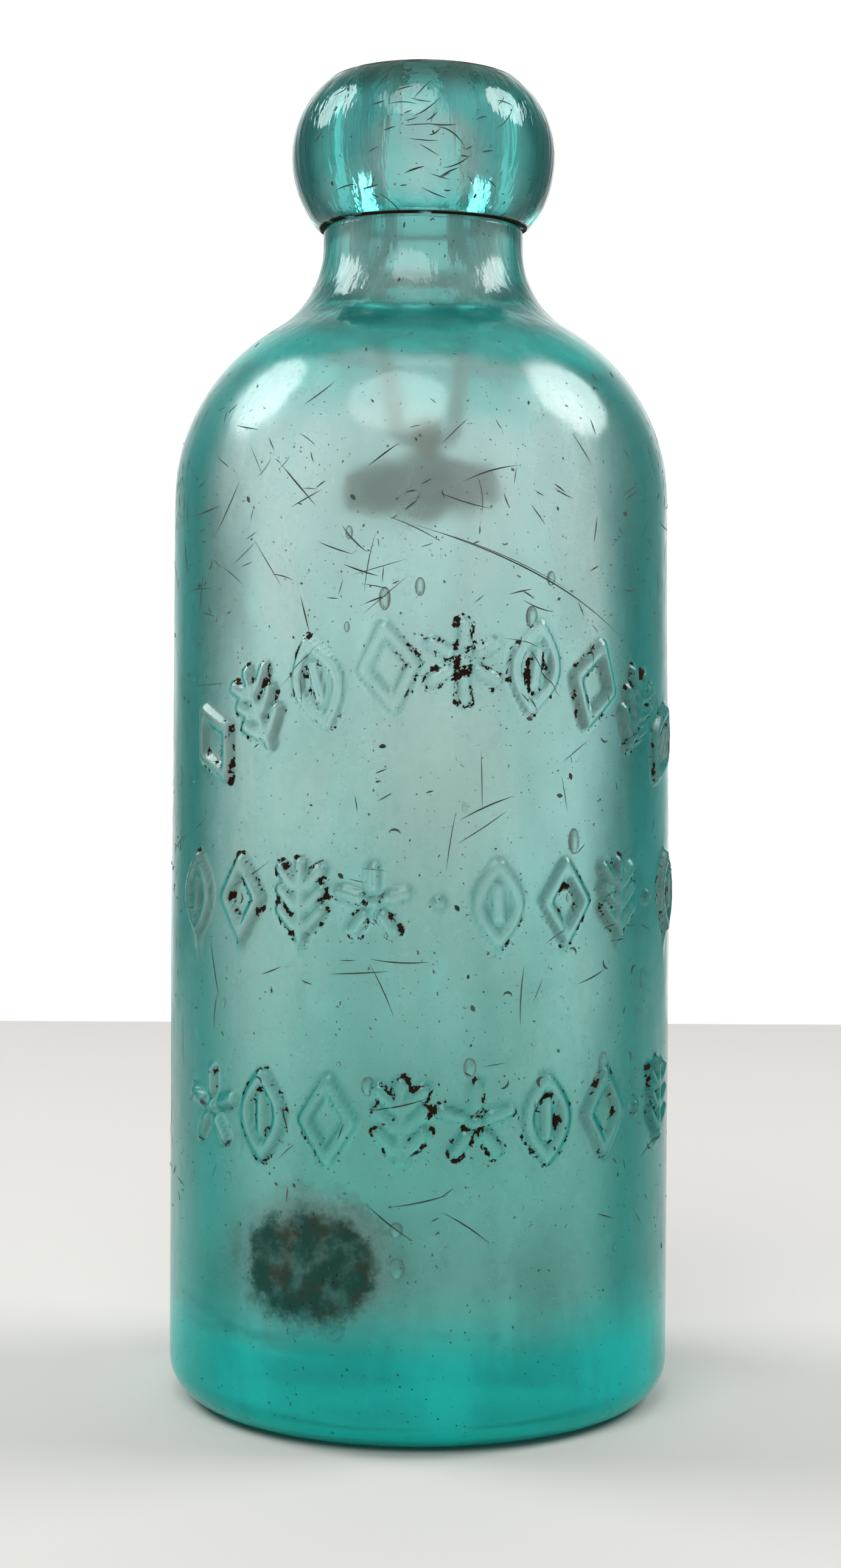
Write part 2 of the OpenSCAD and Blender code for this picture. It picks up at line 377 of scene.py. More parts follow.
def glass_points():
    """Points of the glass as rows by columns, with the masks its material reads."""
    outer, inner = outer_outline(), inner_outline()
    profile = np.array(outer + inner[1:])
    inside = np.arange(len(profile)) >= len(outer)
    angle = lathe_angles()
    r = np.repeat(profile[:, :1], len(angle), axis=1)
    z = np.repeat(profile[:, 1:], len(angle), axis=1)
    a = np.repeat(angle[None, :], len(profile), axis=0)
    is_in = np.repeat(inside[:, None], len(angle), axis=1)

    around = (a + math.pi) % TAU - math.pi
    outside, distance, soiled = outer_offset(around, z)
    grime = soiled * np.exp(-((distance - 0.9 * STROKE_EDGE) / 0.42) ** 2) * (~is_in)
    distance = np.where(is_in, FAR_AWAY, distance)
    soft_in = INNER_WAVE * ripple(a, z, 11, 9, 34, 5) * np.where(z > 128, 0.25, 1.0)
    hand = np.where(is_in, soft_in, outside)
    on_crown = z > LIP_Z - CROWN_DEPTH
    hand = np.where(on_crown, 0.0, hand)
    flat = (r < BODY_R - WALL_T - 3) & is_in & (z < 20)
    radial = np.where(flat, 0.0, hand)
    lift = np.where(flat, FLOOR_WAVE * ripple(a, r, 21, 5, 30, 2) * np.clip(r / 12, 0, 1), 0.0)

    # The joint under the lip wanders up and down, with a groove along it
    near_joint = np.exp(-((z - JOINT_Z) / 1.6) ** 2) * (~is_in)
    wander = JOINT_WANDER * ripple(a[0], 0 * a[0], 31, 5, 50, 6)
    lift = lift + near_joint * wander
    groove = np.exp(-((z - JOINT_Z) / GROOVE_HALF) ** 2) * (~is_in)
    radial = radial - GROOVE_DEPTH * groove

    r, z = r + radial, z + lift
    points = np.stack([r * np.sin(a), -r * np.cos(a), z], axis=-1)
    # Painted shade: a thin ring just inside each stroke's edge, darkened in the tint as the shade the
    # relief's slopes throw
    relief_outline_shade = np.exp(-((distance - 0.75 * STROKE_EDGE) / 0.28) ** 2)
    masks = {"inside": is_in.astype(float), "grime": grime, "joint": groove, "relief_outline_shade": relief_outline_shade,
             "side_shade": side_shade_mask(a, around, z) * (~is_in)}
    return points, masks


def lathe_faces(rows, cols):
    """Quads between the rows of a closed lathe, and a fan on each end pole."""
    faces = []
    for i in range(rows - 1):
        for j in range(cols):
            k = (j + 1) % cols
            faces.append((i * cols + j, i * cols + k, (i + 1) * cols + k, (i + 1) * cols + j))
    low, high = rows * cols, rows * cols + 1
    last = (rows - 1) * cols
    faces += [(low, (j + 1) % cols, j) for j in range(cols)]
    faces += [(high, last + j, last + (j + 1) % cols) for j in range(cols)]
    return faces


def bottle_glass(material):
    """Body and lip as one piece of glass, as they are after the lip is fused on."""
    points, masks = glass_points()
    rows, cols = points.shape[:2]
    verts = points.reshape(-1, 3)
    poles = np.array([[0, 0, verts[:cols, 2].mean()], [0, 0, verts[-cols:, 2].mean()]])
    verts = np.concatenate([verts, poles])
    obj = add_mesh("bottle_glass", verts * MM, lathe_faces(rows, cols), "bottle", material)
    for name, values in masks.items():
        layer = obj.data.attributes.new(name, "FLOAT", "POINT")
        flat = np.concatenate([values.reshape(-1), [0.0, masks["inside"][-1, 0]]])
        layer.data.foreach_set("value", flat.astype(np.float32))
    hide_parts("glass_body", "blob_finish")
    return obj


BUBBLES = 46
LARGE_BUBBLES = [(-16, 28.4, 0.75), (-22.5, 21, 0.85), (-4.6, 22, 0.95), (11, 45.5, 0.8),
                 (45, 45, 0.8), (25, 98, 0.8), (-8, 100, 0.7)]


def ball(centre, radii, out, rows=8, cols=12):
    """Closed ellipsoid with its faces turned inwards; radii across, along the wall's normal, up."""
    side = Vector((-out.y, out.x, 0))
    verts = [centre + Vector((0, 0, radii[2])), centre - Vector((0, 0, radii[2]))]
    for i in range(1, rows):
        t = math.pi * i / rows
        for j in range(cols):
            p = TAU * j / cols
            verts.append(centre + side * (radii[0] * math.sin(t) * math.cos(p))
                         + out * (radii[1] * math.sin(t) * math.sin(p))
                         + Vector((0, 0, radii[2] * math.cos(t))))
    faces = []
    for j in range(cols):
        k = (j + 1) % cols
        faces.append((0, 2 + k, 2 + j))
        faces.append((1, 2 + (rows - 2) * cols + j, 2 + (rows - 2) * cols + k))
        for i in range(rows - 2):
            a, b = 2 + i * cols, 2 + (i + 1) * cols
            faces.append((a + j, a + k, b + k, b + j))
    return verts, faces


def bubbles(material):
    """Seeds and drawn-out bubbles trapped in the wall, as closed hollows in the glass."""
    rng = random.Random(42)
    verts, faces = [], []
    seeds = [(math.radians(a), z, size, 1.3) for a, z, size in LARGE_BUBBLES]
    for _ in range(BUBBLES):
        seeds.append((rng.uniform(-math.pi, math.pi), rng.uniform(20, 112),
                      rng.choice((0.28, 0.35, 0.45, 0.6, 0.85)), rng.uniform(1.6, 2.8)))
    for a, z, size, depth in seeds:
        out = Vector((math.sin(a), -math.cos(a), 0))
        centre = out * (wall_radius(z) - depth) + Vector((0, 0, z))
        more, loops = ball(centre, (size, 0.5 * size, size * rng.uniform(1.0, 2.0)), out)
        faces += [tuple(len(verts) + v for v in loop) for loop in loops]
        verts += more
    obj = add_mesh("glass_bubbles", [v * MM for v in verts], faces, "bottle", material)
    return obj


SHANK_R = 1.7
GASKET_ROUND = 0.8
PLATE_ROUND = 0.25
BOW_SPACING = 18.0
WAIST_HALF = 4.2
BEND_R = 2.0
BEND_X = 1.9
END_GAP = 0.2


def lathe_ring(name, node, profile, material, wobble=0.0, cols=96):
    """A ring turned from a closed (r, z) profile, riding on the stopper in a CAD node's place."""
    profile = np.array(profile)
    rows = len(profile)
    a = np.linspace(0, TAU, cols, endpoint=False)[None, :]
    r, z = profile[:, :1], profile[:, 1:]
    r = r + wobble * ripple(a, z, 61, 6, 20, 5) * (r > 0.6 * r.max())
    z = z + 0 * a
    points = np.stack([r * np.sin(a), -r * np.cos(a), z], axis=-1).reshape(-1, 3)
    faces = [(i * cols + j, i * cols + (j + 1) % cols,
              (i + 1) % rows * cols + (j + 1) % cols, (i + 1) % rows * cols + j)
             for i in range(rows) for j in range(cols)]
    obj = add_mesh(name, points * MM, faces, "stopper", material)
    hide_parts(node)
    return obj


def washer_profile(r, low, top, rim, rib=0.0):
    """Closed profile of a rounded washer on the rivet's shank, with a shallow ring pressed in."""
    hole = SHANK_R + 0.05
    middle = (r + hole) / 2
    upper = [(middle + 0.9, top), (middle + 0.45, top - rib), (middle - 0.45, top - rib),
             (middle - 0.9, top)] if rib else []
    return joined([(hole, low)], line((hole + 0.2, low), (r - rim - 0.1, low), 0.9),
                  arc(r - rim, low + rim, rim, -90, 0, 0.15),
                  line((r, low + rim), (r, top - rim), 0.5),
                  arc(r - rim, top - rim, rim, 0, 90, 0.15), upper, [(hole, top)])


def wire_path():
    """Centre line of the wire loop as (x, z): two bows, a waist, and legs into the rivet's eye."""
    bow = LOOP_HALF - WIRE_R
    top_z = LOOP_TOP - WIRE_R - bow
    low_z = top_z - BOW_SPACING
    eye_z = WIRE_LOW + WIRE_R
    half = BOW_SPACING / 2
    waist_r = (WAIST_HALF ** 2 + half ** 2 - bow ** 2) / (2 * (bow - WAIST_HALF))
    waist_x = WAIST_HALF + waist_r
    waist_a = math.degrees(math.atan2(half, waist_x))
    rise = low_z - eye_z - BEND_R
    leg = math.degrees(math.asin((bow - BEND_R) / math.hypot(BEND_X, rise))
                       - math.atan2(BEND_X, rise))
    side = joined([(END_GAP, eye_z)],
                  arc(BEND_X, eye_z + BEND_R, BEND_R, -90, -leg, 0.35),
                  arc(0, low_z, bow, -leg, waist_a, 0.6),
                  arc(waist_x, (top_z + low_z) / 2, waist_r, 180 + waist_a, 180 - waist_a, 0.8),
                  arc(0, top_z, bow, -waist_a, 90, 0.6))
    return side + [(-x, z) for x, z in reversed(side[:-1])]


def wire_loop(material, sides=20):
    """Round spring wire swept along its centre line, with domed ends."""
    path = np.array(wire_path())
    along = np.gradient(path, axis=0)
    along /= np.linalg.norm(along, axis=1)[:, None]
    ends = [(0, -0.12, 0.55), (0, -0.04, 0.88)] + [(i, 0.0, 1.0) for i in range(len(path))]
    ends += [(len(path) - 1, 0.04, 0.88), (len(path) - 1, 0.12, 0.55)]
    verts = []
    for i, shift, shrink in ends:
        x, z = path[i] + shift * along[i]
        for k in range(sides):
            a = TAU * k / sides
            reach = WIRE_R * shrink * math.cos(a)
            verts.append((x + reach * along[i][1], WIRE_R * shrink * math.sin(a),
                          z - reach * along[i][0]))
    rings = len(ends)
    faces = [(i * sides + k, (i + 1) * sides + k, (i + 1) * sides + (k + 1) % sides,
              i * sides + (k + 1) % sides) for i in range(rings - 1) for k in range(sides)]
    faces += [tuple(range(sides)), tuple(reversed(range((rings - 1) * sides, rings * sides)))]
    obj = add_mesh("spring_wire_loop", np.array(verts) * MM, faces, "stopper", material)
    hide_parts("stopper_wire")
    return obj


def stopper(metal, plate, rubber, brass):
    """The wire loop, the gasket between its plates, and the CAD rivet in tarnished brass."""
    wire_loop(metal)
    lathe_ring("gasket_disc", "rubber_gasket",
               washer_profile(GASKET_R, GASKET_LOW, GASKET_TOP, GASKET_ROUND), rubber,
               wobble=0.05)
    lathe_ring("top_plate", "upper_plate",
               washer_profile(UPPER_R, UPPER_LOW, UPPER_TOP, PLATE_ROUND, 0.2), plate)
    lathe_ring("back_plate", "lower_plate",
               washer_profile(LOWER_R, LOWER_LOW, LOWER_TOP, PLATE_ROUND), plate)
    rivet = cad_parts["stem_rivet"]
    rivet.data.materials.clear()
    rivet.data.materials.append(brass)


SCRATCHES = 430
FLECKS = 430
BRUISES = 26
LIP_MARKS = 46
SHOULDER_MARKS = 56
MARK_LIFT = 0.03
HALF_ROUND = 99


def on_glass(u, z):
    """Point just off the outer surface at arc length u round the front and height z."""
    outline = np.array([p for p in outer_outline() if p[1] > HEEL_R])
    order = np.argsort(outline[:, 1])
    around = np.asarray(u) / BODY_R
    z = np.minimum(np.asarray(z, dtype=float), LIP_Z - 1.0)
    r = np.interp(z, outline[order, 1], outline[order, 0])
    r = r + outer_offset((around + math.pi) % TAU - math.pi, z)[0] + MARK_LIFT
    return np.stack([r * np.sin(around), -r * np.cos(around), z], axis=-1)


def ribbon(path, width):
    """A thin strip along (u, z) points, tapered to both ends, as (u, z) points and quads."""
    path = np.array(path)
    along = np.gradient(path, axis=0)
    side = np.stack([-along[:, 1], along[:, 0]], axis=1)
    side /= np.linalg.norm(side, axis=1)[:, None]
    half = 0.5 * width * np.sin(np.linspace(0.12, math.pi - 0.12, len(path)))[:, None]
    points = np.concatenate([path + side * half, path - side * half])
    n = len(path)
    return points, [(i, i + 1, n + i + 1, n + i) for i in range(n - 1)]


def bent_path(u, z, heading, length, bend):
    """(u, z) points along an arc that starts at a heading and turns by `bend` radians."""
    count = max(5, math.ceil(length / 0.7))
    angles = heading + bend * np.linspace(0, 1, count)
    step = length / (count - 1)
    du = np.concatenate([[0], np.cumsum(np.cos(angles[:-1]) * step)])
    dz = np.concatenate([[0], np.cumsum(np.sin(angles[:-1]) * step)])
    return np.stack([u + du, z + dz], axis=1)


def wear_marks(material):
    """Scratches, crescent bruises and dark flecks on the outside of the glass."""
    rng = random.Random(7)
    marks = [ribbon(bent_path(-1, 108.5, -0.28, 31, -0.28), 0.17),
             ribbon(bent_path(1, 107.9, -0.27, 19, -0.2), 0.1)]
    for _ in range(SCRATCHES):
        u, z = rng.uniform(-HALF_ROUND, HALF_ROUND), rng.uniform(24, 124)
        if rng.random() < 0.4:
            z = rng.uniform(98, 124)
        heading = rng.choice((0.35, 0.5, 1.5, -0.2, -1.2, 2.5)) + rng.gauss(0, 0.25)
        length = rng.choice((1, 1.5, 2, 3, 4.5, 7))
        marks.append(ribbon(bent_path(u, z, heading, length, rng.gauss(0, 0.2)),
                            rng.uniform(0.09, 0.2)))
    for _ in range(BRUISES):
        u, z = rng.uniform(-60, 60), rng.uniform(30, 160)
        marks.append(ribbon(bent_path(u, z, rng.uniform(0, TAU), 1.6, rng.uniform(1.8, 2.8)), 0.3))
    for _ in range(FLECKS):
        u, z = rng.uniform(-HALF_ROUND, HALF_ROUND), rng.uniform(20, 163)
        size = rng.choice((0.16, 0.2, 0.25, 0.35, 0.55))
        marks.append(ribbon(bent_path(u, z, rng.uniform(0, TAU), 1.6 * size, 0.5), size))
    for _ in range(LIP_MARKS):
        u, z = rng.gauss(2, 16), rng.uniform(149.5, 165.5)
        marks.append(ribbon(bent_path(u, z, rng.gauss(0.1, 0.3), rng.choice((2, 3, 5, 7)),
                                      rng.gauss(0, 0.3)), rng.uniform(0.12, 0.22)))
    for _ in range(SHOULDER_MARKS):
        side = rng.choice((-1, -1, 1))
        u, z = side * rng.uniform(36, 52), rng.uniform(109, 123)
        marks.append(ribbon(bent_path(u, z, rng.gauss(1.5, 0.3), rng.choice((0.8, 1.2, 2.2)),
                                      rng.gauss(0, 0.3)), rng.uniform(0.14, 0.26)))
    verts, faces = [], []
    for points, quads in marks:
        faces += [tuple(len(verts) + v for v in quad) for quad in quads]
        verts += list(on_glass(points[:, 0], points[:, 1]) * MM)
    obj = add_mesh("wear_marks", verts, faces, "bottle", material)
    return obj


# ---------------------------------------------------------------- materials

class Nodes:
    """Short hand for building a material's node tree."""

    def __init__(self, name):
        self.material = bpy.data.materials.new(name)
        self.material.use_nodes = True
        self.tree = self.material.node_tree
        self.shader = self.tree.nodes["Principled BSDF"]
        self.output = self.tree.nodes["Material Output"]

    def add(self, kind, **settings):
        """A node of a kind, with its properties set."""
        node = self.tree.nodes.new(kind)
        for key, value in settings.items():
            setattr(node, key, value)
        return node

    def link(self, source, target):
        """Joins an output to an input."""
        self.tree.links.new(source, target)

    def feed(self, socket, value):
        """Links a socket, or sets its constant."""
        if isinstance(value, bpy.types.NodeSocket):
            self.link(value, socket)
        else:
            socket.default_value = value

    def where(self):
        """Position in the object's own space, in metres."""
        return self.add("ShaderNodeTexCoord").outputs["Object"]

    def height(self):
        """Height above the base, in metres."""
        node = self.add("ShaderNodeSeparateXYZ")
        self.link(self.where(), node.inputs["Vector"])
        return node.outputs["Z"]

    def mapped(self, scale):
        """Object position, scaled."""
        node = self.add("ShaderNodeMapping")
        self.link(self.where(), node.inputs["Vector"])
        node.inputs["Scale"].default_value = scale
        return node.outputs["Vector"]

    def noise(self, scale, detail=3.0, vector=None, rough=0.55):
        """Noise texture's value."""
        node = self.add("ShaderNodeTexNoise")
        self.link(vector or self.where(), node.inputs["Vector"])
        node.inputs["Scale"].default_value = scale
        node.inputs["Detail"].default_value = detail
        node.inputs["Roughness"].default_value = rough
        return node.outputs["Fac"]

    def math(self, operation, a, b=0.0, clamp=False):
        """One arithmetic step."""
        node = self.add("ShaderNodeMath", operation=operation, use_clamp=clamp)
        for socket, value in zip(node.inputs, (a, b)):
            self.feed(socket, value)
        return node.outputs[0]

    def ramp(self, value, low, high, to_low=0.0, to_high=1.0):
        """Maps a value from one range to another, smoothly and clamped."""
        node = self.add("ShaderNodeMapRange", interpolation_type="SMOOTHSTEP")
        self.feed(node.inputs["Value"], value)
        node.inputs["From Min"].default_value = low
        node.inputs["From Max"].default_value = high
        node.inputs["To Min"].default_value = to_low
        node.inputs["To Max"].default_value = to_high
        return node.outputs["Result"]

    def mix(self, factor, a, b):
        """Mixes two colours."""
        node = self.add("ShaderNodeMix", data_type="RGBA")
        self.feed(node.inputs["Factor"], factor)
        self.feed(node.inputs["A"], a)
        self.feed(node.inputs["B"], b)
        return node.outputs["Result"]

    def mask(self, name):
        """A mask stored on the mesh's points."""
        node = self.add("ShaderNodeAttribute", attribute_name=name)
        return node.outputs["Fac"]

    def bump(self, height, strength, distance, normal=None):
        """Bump from a height."""
        node = self.add("ShaderNodeBump")
        self.feed(node.inputs["Height"], height)
        node.inputs["Strength"].default_value = strength
        node.inputs["Distance"].default_value = distance
        if normal is not None:
            self.link(normal, node.inputs["Normal"])
        return node.outputs["Normal"]

    def set(self, **values):
        """Sets or links the shader's own sockets, by name with spaces as underscores."""
        for name, value in values.items():
            self.feed(self.shader.inputs[name.replace("_", " ")], value)


def rgb(r, g, b):
    """A colour from linear values."""
    return (r, g, b, 1.0)


CLEAR_TINT = rgb(0.88, 0.96, 0.945)
HAZE_TINT = rgb(0.73, 0.87, 0.835)
LOW_TINT = rgb(0.06, 0.78, 0.69)
EDGE_TINT = rgb(0.006, 0.34, 0.315)
LOW_EDGE_TINT = rgb(0.004, 0.42, 0.385)
BASE_TINT = rgb(0.004, 0.72, 0.65)
BAND_TINT = rgb(0.03, 0.66, 0.60)
CROWN_SHADE_TINT = rgb(0.06, 0.16, 0.135)
LIP_TINT = rgb(0.95, 1.0, 1.0)
LIP_SIDE_TINT = rgb(0.20, 0.90, 0.88)
LIP_EDGE_TINT = rgb(0.002, 0.17, 0.17)
NECK_TINT = rgb(0.42, 0.78, 0.75)
PALE_TINT = rgb(0.97, 0.985, 0.98)
SHEEN_TINT = rgb(0.12, 0.86, 0.80)
RIM_SHADE_TINT = rgb(0.02, 0.035, 0.03)
DIRT = rgb(0.022, 0.012, 0.006)
STAIN = rgb(0.010, 0.058, 0.045)
STAIN_BROWN = rgb(0.040, 0.042, 0.022)
ABSORB_COLOUR = rgb(0.16, 0.80, 0.765)
ABSORB_DENSITY = 75.0
GLASS_IOR = 1.51
STAIN_ANGLE = math.radians(-24.5)
STAIN_SQUASH = (1.0, 0.35, 1.15)
STAIN_Z = 21.9


def span(z, low, high):
    """Two heights in metres, from millimetres above or below a height of the glass."""
    return (z + low) * MM, (z + high) * MM


# Where each zone of the material comes in, or fades out, up the bottle
BASE_FADES = span(FLOOR_T, 3.5, 15.0)
FLOOR_SHADE_LINE_Z = (FLOOR_T + 7.5) * MM
LOW_FADES = span(FLOOR_T, 6.5, 80.5)
LOW_EDGE_FADES = span(FLOOR_T, 10.5, 50.5)
LOW_SIDE_FADES = span(FLOOR_T, 20.5, 70.5)
PALE_STARTS = span(SHOULDER_Z, -28.3, 4.7)
PALE_FADES = span(SHOULDER_Z, 8.7, 18.7)
UPPER_STARTS = span(SHOULDER_Z, -13.3, 6.7)
STREAKS_START = span(NECK_Z, -17.6, -5.6)
BAND_STARTS = span(NECK_Z, -14.8, -12.4)
BAND_FADES = span(NECK_Z, -13.8, -11.1)
NECK_STARTS = span(NECK_Z, -12.1, -8.6)
HAZE_THINS = span(JOINT_Z, -1.8, 2.2)
LIP_STARTS = span(JOINT_Z, -0.2, 0.6)
CROWN_SHADE_STARTS = span(LIP_Z, -6.8, -2.0)
TOP_DIRT_STARTS = span(LIP_Z, -1.1, -0.3)
RIM_SHADE_STARTS = span(LIP_Z, -1.0, -0.2)


def glass_haze(m):
    """Burial haze: tall clouds and fine mottling over the body, thinner on the lip."""
    cloud = m.ramp(m.noise(60, 4, m.mapped((1.0, 1.0, 0.35)), rough=0.6), 0.35, 0.75)
    mottle = m.ramp(m.noise(520, 4, rough=0.7), 0.35, 0.70)
    haze = m.math("ADD", m.math("MULTIPLY", cloud, 0.88), m.math("MULTIPLY", mottle, 0.12))
    return m.math("MULTIPLY", haze, m.ramp(m.height(), *HAZE_THINS, 1.0, 0.55))


def glass_dirt(m):
    """Dirt in the ornament's corners, in the crease under the lip and on its top, and specks."""
    specks = m.math("MULTIPLY", m.ramp(m.noise(2100, 2, rough=0.4), 0.705, 0.735), 0.85)
    clumps = m.ramp(m.noise(680, 4, rough=0.65), 0.36, 0.62)
    where_dirty = m.math("SUBTRACT", m.mask("grime"), clumps)
    soil = m.ramp(m.math("MULTIPLY", where_dirty, m.ramp(m.noise(75, 2), 0.36, 0.52)), 0.12, 0.30)
    crease = m.math("MULTIPLY", m.ramp(m.mask("joint"), 0.5, 0.9), m.ramp(m.noise(260, 3), 0.34, 0.5))
    lip_top = m.math("MULTIPLY", m.ramp(m.height(), *TOP_DIRT_STARTS, 0.0, 0.75),
                     m.ramp(m.noise(160, 3), 0.34, 0.52))
    dirt = m.math("MAXIMUM", m.math("MAXIMUM", specks, soil), m.math("MAXIMUM", crease, lip_top))
    return m.math("MULTIPLY", dirt, m.ramp(m.mask("inside"), 0.2, 0.8, 1.0, 0.25))


def glass_stain(m):
    """The round brown-green deposit low at the front left, right through the wall."""
    middle = BODY_R - WALL_T / 2
    place = (middle * math.sin(STAIN_ANGLE), -middle * math.cos(STAIN_ANGLE), STAIN_Z)
    spot = m.add("ShaderNodeVectorMath", operation="DISTANCE")
    m.link(m.mapped(STAIN_SQUASH), spot.inputs[0])
    spot.inputs[1].default_value = [p * k * MM for p, k in zip(place, STAIN_SQUASH)]
    ragged = m.math("MULTIPLY", m.noise(210, 6, rough=0.7), 0.009)
    stain = m.ramp(m.math("ADD", spot.outputs["Value"], ragged), 0.0112, 0.0156, 1.0, 0.0)
    stain = m.math("MULTIPLY", stain, m.ramp(m.noise(300, 4, rough=0.6), 0.30, 0.58, 0.82, 0.98))
    return stain


def glass_tint(m, haze, height):
    """Surface tint with how much of it is base and sheen: deeper low, at the neck and at edges, and
    painted shade on the ornament's outlines, two side zones, a floor line and the lip's top.
    """
    wobble = m.math("MULTIPLY", m.noise(60, 3), 0.006)
    base = m.ramp(m.math("ADD", height, wobble), *BASE_FADES, 1.0, 0.0)
    low = m.ramp(height, *LOW_FADES, 0.64, 0.0)
    band = m.math("MULTIPLY", m.ramp(m.math("ADD", height, wobble), *BAND_STARTS),
                  m.ramp(height, *BAND_FADES, 0.85, 0.0))
    lip = m.ramp(height, *LIP_STARTS, 0.0, 0.85)
    weight = m.add("ShaderNodeLayerWeight")
    weight.inputs["Blend"].default_value = 0.5
    low_down = m.ramp(height, *LOW_SIDE_FADES, 1.0, 0.0)
    facing = m.math("ADD", weight.outputs["Facing"], m.math("MULTIPLY", low_down, 0.10))
    edge = m.ramp(facing, 0.30, 0.60, 0.0, 0.95)
    lip_edge = m.math("MULTIPLY", m.ramp(weight.outputs["Facing"], 0.30, 0.52, 0.0, 1.1), lip)
    edge = m.math("MAXIMUM", edge, lip_edge)
    # Painted shade: the ornament's outlines pulled toward the dark edge tint
    edge = m.math("MAXIMUM", edge, m.math("MULTIPLY", m.mask("relief_outline_shade"), 0.5), clamp=True)
    tint = m.mix(haze, CLEAR_TINT, HAZE_TINT)
    pale = m.math("MULTIPLY", m.ramp(height, *PALE_STARTS, 0.0, 0.95),
                  m.ramp(height, *PALE_FADES, 1.0, 0.1))
    tint = m.mix(pale, tint, PALE_TINT)
    neck = m.ramp(height, *NECK_STARTS, 0.0, 0.6)
    lip_tint = m.mix(m.ramp(weight.outputs["Facing"], 0.03, 0.16), LIP_TINT, LIP_SIDE_TINT)
    upper = m.mix(m.ramp(height, *LIP_STARTS), NECK_TINT, lip_tint)
    tint = m.mix(m.math("MAXIMUM", low, m.math("MAXIMUM", lip, neck)), tint,
                 m.mix(m.ramp(height, *UPPER_STARTS), LOW_TINT, upper))
    # Painted shade: two tall zones near the sides tinted deeper teal
    tint = m.mix(m.math("MULTIPLY", m.mask("side_shade"), 0.9), tint, EDGE_TINT)
    rim = m.mix(m.ramp(height, *LOW_EDGE_FADES), LOW_EDGE_TINT, EDGE_TINT)
    rim = m.mix(m.ramp(height, *LIP_STARTS), rim, LIP_EDGE_TINT)
    tint = m.mix(edge, tint, rim)
    tint = m.mix(band, tint, BAND_TINT)
    tint = m.mix(m.math("MULTIPLY", base, 0.92), tint, BASE_TINT)
    # Painted shade: a thin dark line round the wall a little above the inner floor, where the floor's
    # edge shows through
    floor_shade_line = m.math("ABSOLUTE", m.math("SUBTRACT", m.math("ADD", height, wobble), FLOOR_SHADE_LINE_Z))
    floor_shade_line = m.math("MULTIPLY", m.ramp(floor_shade_line, 0.0002, 0.0010, 0.45, 0.0),
                        m.ramp(m.noise(90, 3), 0.50, 0.64))
    tint = m.mix(floor_shade_line, tint, EDGE_TINT)
    # Painted shade: the crown of the lip darkens towards its top
    tint = m.mix(m.ramp(height, *CROWN_SHADE_STARTS, 0.0, 0.9), tint, CROWN_SHADE_TINT)
    # Painted shade: a near-black line along the top of the rim
    tint = m.mix(m.ramp(height, *RIM_SHADE_STARTS, 0.0, 0.85), tint, RIM_SHADE_TINT)
    sheen = m.math("MAXIMUM", base, m.math("MULTIPLY", edge, 0.8))
    return tint, base, sheen


def aqua_glass():
    """Aqua glass: tinted in its depth, etched and hazy on its surfaces, grimy in its corners."""
    m = Nodes("aqua_glass")
    height = m.height()
    haze = glass_haze(m)
    dirt = glass_dirt(m)
    stain = glass_stain(m)
    tint, base, sheen = glass_tint(m, haze, height)
    deposit_tint = m.mix(m.ramp(m.noise(210, 5), 0.44, 0.66), STAIN, STAIN_BROWN)
    tint = m.mix(dirt, m.mix(stain, tint, deposit_tint), DIRT)
    deposit = m.math("MAXIMUM", dirt, stain)

    rough = m.math("ADD", m.ramp(haze, 0.1, 0.9, 0.13, 0.27),
                   m.math("MULTIPLY", m.mask("inside"), 0.08))
    rough = m.math("MULTIPLY", rough, m.ramp(height, *HAZE_THINS, 1.0, 0.5))
    see = m.math("SUBTRACT", m.ramp(haze, 0.0, 0.9, 0.84, 0.62), m.math("MULTIPLY", base, 0.30))
    see = m.math("MULTIPLY", see, m.math("SUBTRACT", 1.0, m.math("MULTIPLY", deposit, 0.96)))
    normal = m.bump(m.noise(120, 2), 0.22, 0.0006)
    normal = m.bump(m.noise(900, 4, rough=0.7), 0.08, 0.00006, normal)
    streaks = m.math("MULTIPLY", m.noise(420, 3, m.mapped((1, 1, 0.06))),
                     m.ramp(height, *STREAKS_START))
    normal = m.bump(streaks, 0.6, 0.0004, normal)
    dull = m.math("MAXIMUM", sheen, deposit)
    m.set(Base_Color=tint, Roughness=m.math("MAXIMUM", rough, m.math("MULTIPLY", deposit, 0.8)),
          Transmission_Weight=see, IOR=GLASS_IOR,
          Specular_IOR_Level=m.math("SUBTRACT", 0.3, m.math("MULTIPLY", dull, 0.27)),
          Specular_Tint=m.mix(sheen, rgb(1, 1, 1), SHEEN_TINT), Normal=normal)
    depth = m.add("ShaderNodeVolumeAbsorption")
    depth.inputs["Color"].default_value = ABSORB_COLOUR
    depth.inputs["Density"].default_value = ABSORB_DENSITY
    m.link(depth.outputs["Volume"], m.output.inputs["Volume"])
    return m.material


def dark_dirt():
    """Dirt packed into scratches, bruises and pinholes."""
    m = Nodes("dark_dirt")
    tone = m.ramp(m.noise(300, 3), 0.35, 0.65)
    m.set(Base_Color=m.mix(tone, rgb(0.022, 0.026, 0.020), rgb(0.075, 0.085, 0.070)),
          Roughness=0.8)
    return m.material


def seed_surface():
    """Smooth inner skin of a bubble."""
    m = Nodes("seed_surface")
    m.set(Base_Color=rgb(0.85, 0.93, 0.92), Roughness=0.02, Transmission_Weight=1.0, IOR=GLASS_IOR)
    return m.material


